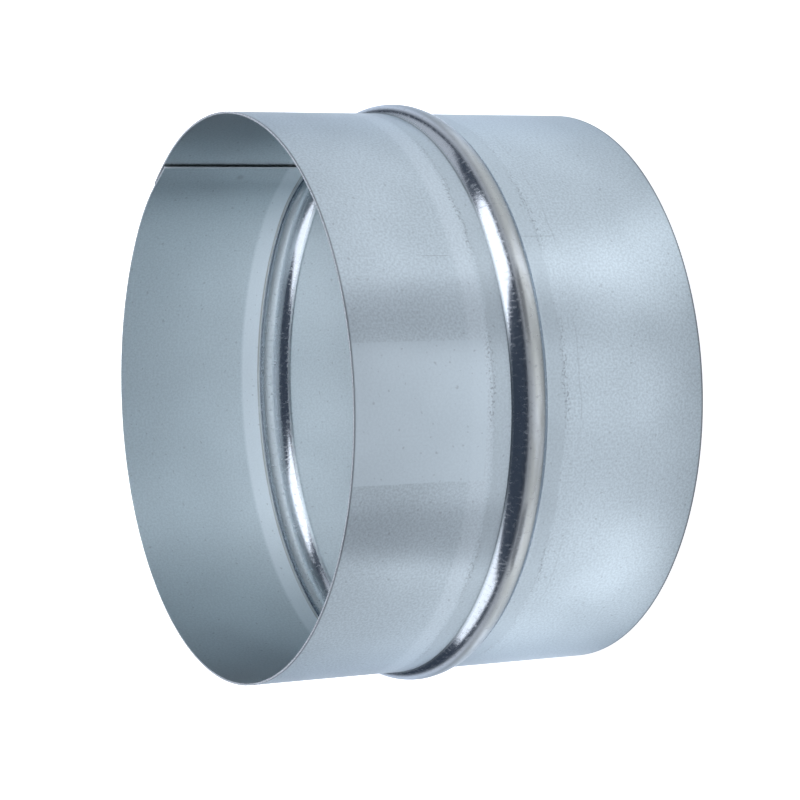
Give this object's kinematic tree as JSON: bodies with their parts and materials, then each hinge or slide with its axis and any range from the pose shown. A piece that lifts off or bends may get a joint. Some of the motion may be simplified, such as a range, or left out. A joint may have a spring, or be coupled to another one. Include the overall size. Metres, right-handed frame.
{
  "type": "duct connector",
  "caption": "Short round sleeve of galvanised sheet steel with a rolled stop bead and a joggled lap seam; pushes into the ends of round ducts to join them.",
  "frame": {"origin": "centre of the lower rim, on the surface that the sleeve stands on", "axes": "+Z along the sleeve's axis, from the longer half to the shorter half; the lap seam lies between +X and +Y"},
  "size_m": [0.1538, 0.1538, 0.0986],
  "materials": {
    "galvanised_sheet": "hot-dip galvanised, fine spangle"
  },
  "bodies": {
    "root": {"sleeve": "galvanised_sheet"}
  },
  "joints": []
}
